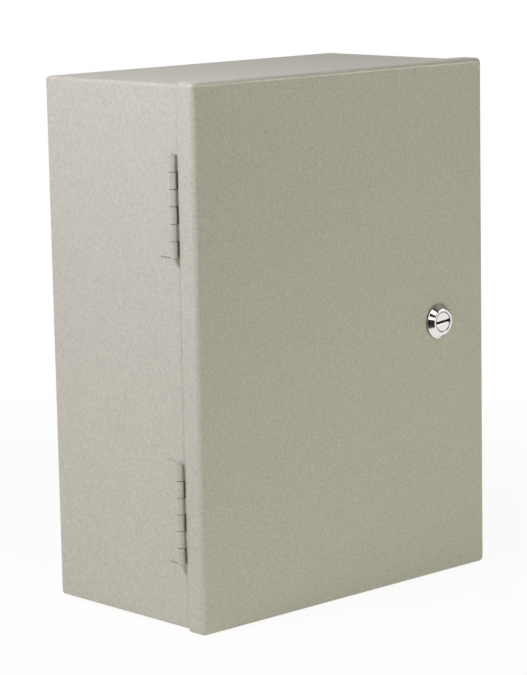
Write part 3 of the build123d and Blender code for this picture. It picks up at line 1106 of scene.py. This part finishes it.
@dataclass
class DevicePanel:
    """White mounting panel on four threaded weld studs with flanged nuts."""

    edge_round: float = 0.3 * MM
    collar_radius: float = 5.5 * MM
    stud_radius: float = 3.175 * MM
    thread_pitch: float = 1.27 * MM
    tip_chamfer: float = 0.6 * MM
    flange_radius: float = 7.0 * MM
    flange_height: float = 1.2 * MM
    flange_rim: float = 0.4 * MM  # height of the flange at its edge
    nut_across_flats: float = 11.1 * MM

    def build(self, shop: Workshop) -> None:
        """Models and dresses the panel, its studs and its nuts.

        Args:
            shop: Where pieces are dressed and hung on their bodies.
        """
        panel = softened_copy("mounting_panel", "device_panel", self.edge_round)
        shop.hand_over(panel, Body.CABINET, Slot.PANEL_PAINT, "mounting_panel")
        shop.hand_over(self._studs(), Body.CABINET, Slot.ZINC_PLATE, "panel_studs")
        shop.hand_over(self._nuts(), Body.CABINET, Slot.ZINC_PLATE, "panel_nuts")

    def _corners(self, depth: float) -> list[Vector]:
        """Finds the stud axes from the outer collars of the stud solids.

        Args:
            depth: Place along Y.

        Returns:
            A point at that depth on each axis.
        """
        low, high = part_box("panel_studs")
        across = (low.x + self.collar_radius, high.x - self.collar_radius)
        upward = (low.z + self.collar_radius, high.z - self.collar_radius)
        return [Vector((x, depth, z)) for x in across for z in upward]

    def _studs(self) -> bpy.types.Object:
        """Models one stud with its collar and thread, and sets four of them.

        Returns:
            The studs as one piece, in their places.
        """
        low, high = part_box("panel_studs")
        panel_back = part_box("mounting_panel")[1].y
        collar = high.y - panel_back
        length = high.y - low.y
        end = length - self.tip_chamfer
        outline = [
            (0.0, 0.0),
            (self.collar_radius, 0.0),
            (self.collar_radius, collar),
            *thread_rings(self.stud_radius, collar, end, self.thread_pitch),
            (self.stud_radius - self.tip_chamfer, length),
            (0.0, length),
        ]
        stud = turned("threaded_studs", outline, STUD_STEPS)
        cut_thread(stud, self.stud_radius, collar, end, self.thread_pitch)
        return copies_at(stud, self._corners(high.y), Facing.FRONT)

    def _nuts(self) -> bpy.types.Object:
        """Models one flanged nut and sets four of them.

        Returns:
            The nuts as one piece, in their places.
        """
        low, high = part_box("panel_nuts")
        height = high.y - low.y
        nut = hexagon_nut("flanged_nuts", self.nut_across_flats, height, self.stud_radius)
        flange = turned(
            "nut_flange",
            [
                (self.stud_radius, 0.0),
                (self.flange_radius, 0.0),
                (self.flange_radius, self.flange_rim),
                (self.nut_across_flats / 2, self.flange_height),
                (self.stud_radius, self.flange_height),
                (self.stud_radius, 0.0),
            ],
        )
        combine(nut, flange, Joining.FUSE)
        return copies_at(nut, self._corners(high.y), Facing.FRONT)


@dataclass
class EarthPoint:
    """An earthing stud with a toothed washer and a nut."""

    name: str
    body: Body
    facing: Facing
    stud_radius: float = 3.0 * MM
    foot_radius: float = 5.0 * MM
    foot_height: float = 1.2 * MM
    tip_chamfer: float = 0.5 * MM
    thread_pitch: float = 1.0 * MM
    nut_across_flats: float = 10.0 * MM
    washer_round: float = 0.1 * MM

    def build(self, shop: Workshop) -> None:
        """Models the stud and nut, and rounds the washer's edges.

        Args:
            shop: Where pieces are dressed and hung on their bodies.
        """
        shop.hand_over(self._stud(), self.body, Slot.ZINC_PLATE, self.name + "_stud")
        shop.hand_over(self._nut(), self.body, Slot.ZINC_PLATE, self.name + "_nut")
        washer = softened_copy(self.name + "_washer", self.name + "_toothed_washer", self.washer_round)
        shop.hand_over(washer, self.body, Slot.ZINC_PLATE, self.name + "_washer")

    def _foot_of(self, node: str) -> tuple[Vector, float]:
        """Finds where a solid stands.

        Args:
            node: Solid on the stud's axis.

        Returns:
            The foot of the solid on the axis, and its height along the way that it faces.
        """
        low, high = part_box(node)
        depth = high.y if self.facing is Facing.FRONT else low.y
        return Vector(((low.x + high.x) / 2, depth, (low.z + high.z) / 2)), high.y - low.y

    def _stud(self) -> bpy.types.Object:
        """Models the stud with its welded foot and thread.

        Returns:
            The stud, in its place.
        """
        foot, length = self._foot_of(self.name + "_stud")
        end = length - self.tip_chamfer
        outline = [
            (0.0, 0.0),
            (self.foot_radius, 0.0),
            (self.foot_radius, self.foot_height),
            *thread_rings(self.stud_radius, self.foot_height, end, self.thread_pitch),
            (self.stud_radius - self.tip_chamfer, length),
            (0.0, length),
        ]
        stud = turned(self.name + "_threaded_stud", outline, STUD_STEPS)
        cut_thread(stud, self.stud_radius, self.foot_height, end, self.thread_pitch)
        place(stud, foot, self.facing)
        return stud

    def _nut(self) -> bpy.types.Object:
        """Models the nut on the washer.

        Returns:
            The nut, in its place.
        """
        foot, height = self._foot_of(self.name + "_nut")
        nut = hexagon_nut(self.name + "_hexagon_nut", self.nut_across_flats, height, self.stud_radius)
        place(nut, foot, self.facing)
        return nut


@dataclass(frozen=True)
class Softbox:
    """A rectangular studio lamp or card with a soft face."""

    name: str
    place: Place
    aim: Place
    width: float
    height: float
    power: float
    colour: Colour = (1.0, 1.0, 1.0)
    mirrored: bool = True  # whether glossy faces show it
    lit: bool = True  # whether matt faces get its light

    def build(self) -> None:
        """Adds the lamp, which the camera itself doesn't see."""
        deselect_all()
        bpy.ops.object.light_add(type="AREA", location=self.place)
        lamp = bpy.context.object
        lamp.name = self.name
        beam = Vector(self.aim) - Vector(self.place)
        lamp.rotation_euler = beam.to_track_quat("-Z", "Y").to_euler()
        lamp.data.shape = "RECTANGLE"
        lamp.data.size = self.width
        lamp.data.size_y = self.height
        lamp.data.energy = self.power
        lamp.data.color = self.colour
        lamp.visible_camera = False
        lamp.visible_glossy = self.mirrored
        lamp.visible_diffuse = self.lit
        LOG.info("lamp %s", self.name)


@dataclass(frozen=True)
class Studio:
    """Pale floor, soft lamps, white surroundings and the camera at the photograph's angle."""

    sensor: float = 36.0  # millimetres along the image's height
    lens: float = 144.055  # millimetres
    azimuth: float = math.radians(43.066)  # turn of the view to the right of +Y
    elevation: float = math.radians(9.687)  # fall of the view
    roll: float = math.radians(-1.098)
    distance: float = 2.1261
    near_share: float = 0.01  # nearest distance that the camera sees, of its distance
    target: Place = (-0.009, -0.085, -0.00814)
    floor_size: float = 12.0
    floor_drop: float = 0.2 * MM  # gap between the floor and the cabinet's lowest point
    floor_colour: Colour = (0.9, 0.89, 0.77)  # of the light that the floor throws back
    floor_front: float = 0.95  # the floor ends this far in front of the cabinet, towards the camera
    floor_glow: float = 0.93  # part of the floor's white near the cabinet that the lamps don't change
    card_span: Span = (0.3, 0.4)  # where reflections find the floor darkening, towards the camera
    shadow_span: Span = (0.35, 0.9)  # distance from the cabinet over which the floor turns all white
    back_level: float = 0.6  # light of the white wall behind the cabinet
    front_level: float = 0.03  # light of the dim room in front of it
    wall_top_share: float = 0.6  # light of the wall high up, of that below
    ceiling_level: float = 0.26  # what the ceiling at the right adds
    back_tint: Colour = (1.0, 0.97, 0.93)
    # Spans of the X, Y or Z of a direction
    wall_span: Span = (-0.15, 0.5)  # Y, from the dim room to the wall
    wall_top_span: Span = (0.35, 0.9)  # Z, from the wall to its top
    ceiling_span: Span = (0.3, 0.7)  # Z, up to the ceiling
    right_span: Span = (-0.2, 0.5)  # X, towards the right

    def build(self) -> None:
        """Sets up the floor, the light and the camera."""
        self._floor()
        self._world()
        self._camera()
        for lamp in SOFTBOXES:
            lamp.build()
        bpy.context.scene.view_settings.view_transform = "Standard"

    def _floor(self) -> None:
        """Adds the paper floor, which ends in front of the cabinet and turns all white further out."""
        towards = Vector((-math.sin(self.azimuth), -math.cos(self.azimuth), 0.0))
        middle = towards * (self.floor_front - self.floor_size / 2)
        floor = new_primitive(
            "studio_floor",
            bpy.ops.mesh.primitive_plane_add,
            size=self.floor_size,
            location=(middle.x, middle.y, cad_box[0].z - self.floor_drop),
            rotation=(0.0, 0.0, -self.azimuth),
        )
        bpy.ops.object.transform_apply(location=True, rotation=True, scale=True)
        floor.data.materials.append(self._floor_finish(towards))

    def _floor_finish(self, towards: Vector) -> bpy.types.Material:
        """Builds the floor's finish, which keeps the cabinet's shadow and is white elsewhere.

        Args:
            towards: Direction along the floor to the camera.

        Returns:
            The material.
        """
        material = bpy.data.materials.new("studio_floor_finish")
        material.use_nodes = True
        board = NodeBoard(material.node_tree)
        board.tree.nodes.clear()
        path = board.add("ShaderNodeLightPath")
        seen = board.math("MAXIMUM", path.outputs["Is Camera Ray"], path.outputs["Is Glossy Ray"])
        seen = board.math("MAXIMUM", seen, path.outputs["Is Transmission Ray"])
        ground = board.add("ShaderNodeTexCoord").outputs["Object"]
        away = board.add("ShaderNodeVectorMath", {0: ground}, operation="LENGTH").outputs["Value"]
        share = board.blend(away, self.shadow_span, self.floor_glow, 1.0)
        share = board.math("MULTIPLY", share, seen)
        along = {0: ground, 1: towards}
        forth = board.add("ShaderNodeVectorMath", along, operation="DOT_PRODUCT").outputs["Value"]
        shade = board.blend(forth, self.card_span, 1.0, self.front_level)
        shade = board.math("MAXIMUM", shade, path.outputs["Is Camera Ray"])
        matt = board.add("ShaderNodeBsdfDiffuse", {"Color": (*self.floor_colour, 1.0)})
        glow = board.add("ShaderNodeEmission", {"Color": WHITE, "Strength": shade})
        mix = board.add("ShaderNodeMixShader", {0: share, 1: matt.outputs[0], 2: glow.outputs[0]})
        board.add("ShaderNodeOutputMaterial", {"Surface": mix.outputs[0]})
        return material

    def _world(self) -> None:
        """Fills the surroundings: a white wall behind, a dim room in front, and white to the camera."""
        world = bpy.data.worlds.new("studio_surroundings")
        world.use_nodes = True
        bpy.context.scene.world = world
        board = NodeBoard(world.node_tree)
        board.tree.nodes.clear()
        direction = board.add("ShaderNodeTexCoord").outputs["Generated"]
        parts = board.add("ShaderNodeSeparateXYZ", {0: direction})
        level = board.blend(parts.outputs["Y"], self.wall_span, self.front_level, self.back_level)
        wall_top = board.blend(parts.outputs["Z"], self.wall_top_span, 1.0, self.wall_top_share)
        level = board.math("MULTIPLY", level, wall_top)
        ceiling = board.blend(parts.outputs["Z"], self.ceiling_span, 0.0, self.ceiling_level)
        rightward = board.blend(parts.outputs["X"], self.right_span, 0.0, 1.0)
        level = board.math("ADD", level, board.math("MULTIPLY", ceiling, rightward))
        wall = board.add("ShaderNodeBackground", {"Color": (*self.back_tint, 1.0), "Strength": level})
        white = board.add("ShaderNodeBackground", {"Color": WHITE, "Strength": 1.0})
        seen = board.add("ShaderNodeLightPath").outputs["Is Camera Ray"]
        mix = board.add("ShaderNodeMixShader", {0: seen, 1: wall.outputs[0], 2: white.outputs[0]})
        board.add("ShaderNodeOutputWorld", {"Surface": mix.outputs[0]})

    def _camera(self) -> None:
        """Adds the camera that sees the cabinet as the photograph does."""
        forward = Vector(
            (
                math.sin(self.azimuth) * math.cos(self.elevation),
                math.cos(self.azimuth) * math.cos(self.elevation),
                -math.sin(self.elevation),
            )
        )
        level = Vector((math.cos(self.azimuth), -math.sin(self.azimuth), 0.0))
        upright = level.cross(forward)
        right = level * math.cos(self.roll) + upright * math.sin(self.roll)
        up = right.cross(forward)
        eye = Vector(self.target) - forward * self.distance
        deselect_all()
        bpy.ops.object.camera_add(location=eye)
        camera = bpy.context.object
        camera.name = "photograph_camera"
        camera.rotation_euler = Matrix((right, up, -forward)).transposed().to_euler()
        camera.data.sensor_width = self.sensor
        camera.data.lens = self.lens
        camera.data.clip_start = self.distance * self.near_share
        bpy.context.scene.camera = camera


SOFTBOXES = (
    Softbox(
        name="left_softbox",
        place=(-0.85, -0.12, 0.78),
        aim=(-0.15, -0.08, 0.0),
        width=0.3,
        height=0.3,
        power=9.9,
        colour=(0.92, 0.893, 1.14),
    ),
    Softbox(
        name="front_softbox",
        place=(0.0, -1.9, 0.65),
        aim=(0.0, -0.17, 0.1),
        width=0.5,
        height=0.5,
        power=6.6,
        colour=(1.0, 1.01, 1.02),
        mirrored=False,
    ),
    Softbox(
        name="right_card",
        place=(1.2, -1.43, 0.5),
        aim=(0.0, -0.17, 0.2),
        width=0.7,
        height=0.22,
        power=7.6,
        colour=(1.0, 1.0, 0.95),
        lit=False,
    ),
    Softbox(
        name="corner_card",
        place=(-0.06, -1.35, 0.17),
        aim=(-0.15, -0.17, 0.2),
        width=0.3,
        height=0.2,
        power=2.5,
        colour=(1.0, 1.0, 0.9),
        lit=False,
    ),
    Softbox(
        name="low_card",
        place=(0.2, -0.9, -0.1),
        aim=(0.05, -0.17, -0.05),
        width=0.8,
        height=0.18,
        power=0.95,
        mirrored=False,
    ),
    Softbox(
        name="upper_card",
        place=(-0.7, -2.37, 2.33),
        aim=(0.1, -0.17, 0.0),
        width=1.4,
        height=0.9,
        power=6.5,
    ),
    Softbox(
        name="lower_card",
        place=(-1.98, -2.57, 0.91),
        aim=(0.1, -0.17, 0.0),
        width=1.2,
        height=0.85,
        power=4.5,
    ),
)


def main() -> None:
    """Builds every sub-assembly, the studio and the camera."""
    logging.basicConfig(level=logging.INFO, format="%(name)s: %(message)s")
    shop = Workshop()
    assemblies = (
        PaintedShells(),
        ButtHinge("upper_hinge"),
        ButtHinge("lower_hinge"),
        DoorGasket(),
        QuarterTurnLatch(),
        DevicePanel(),
        EarthPoint("body_earth", Body.CABINET, Facing.FRONT),
        EarthPoint("door_bond", Body.DOOR, Facing.BACK),
    )
    for assembly in assemblies:
        assembly.build(shop)
    Studio().build()


if __name__ == "__main__":
    main()
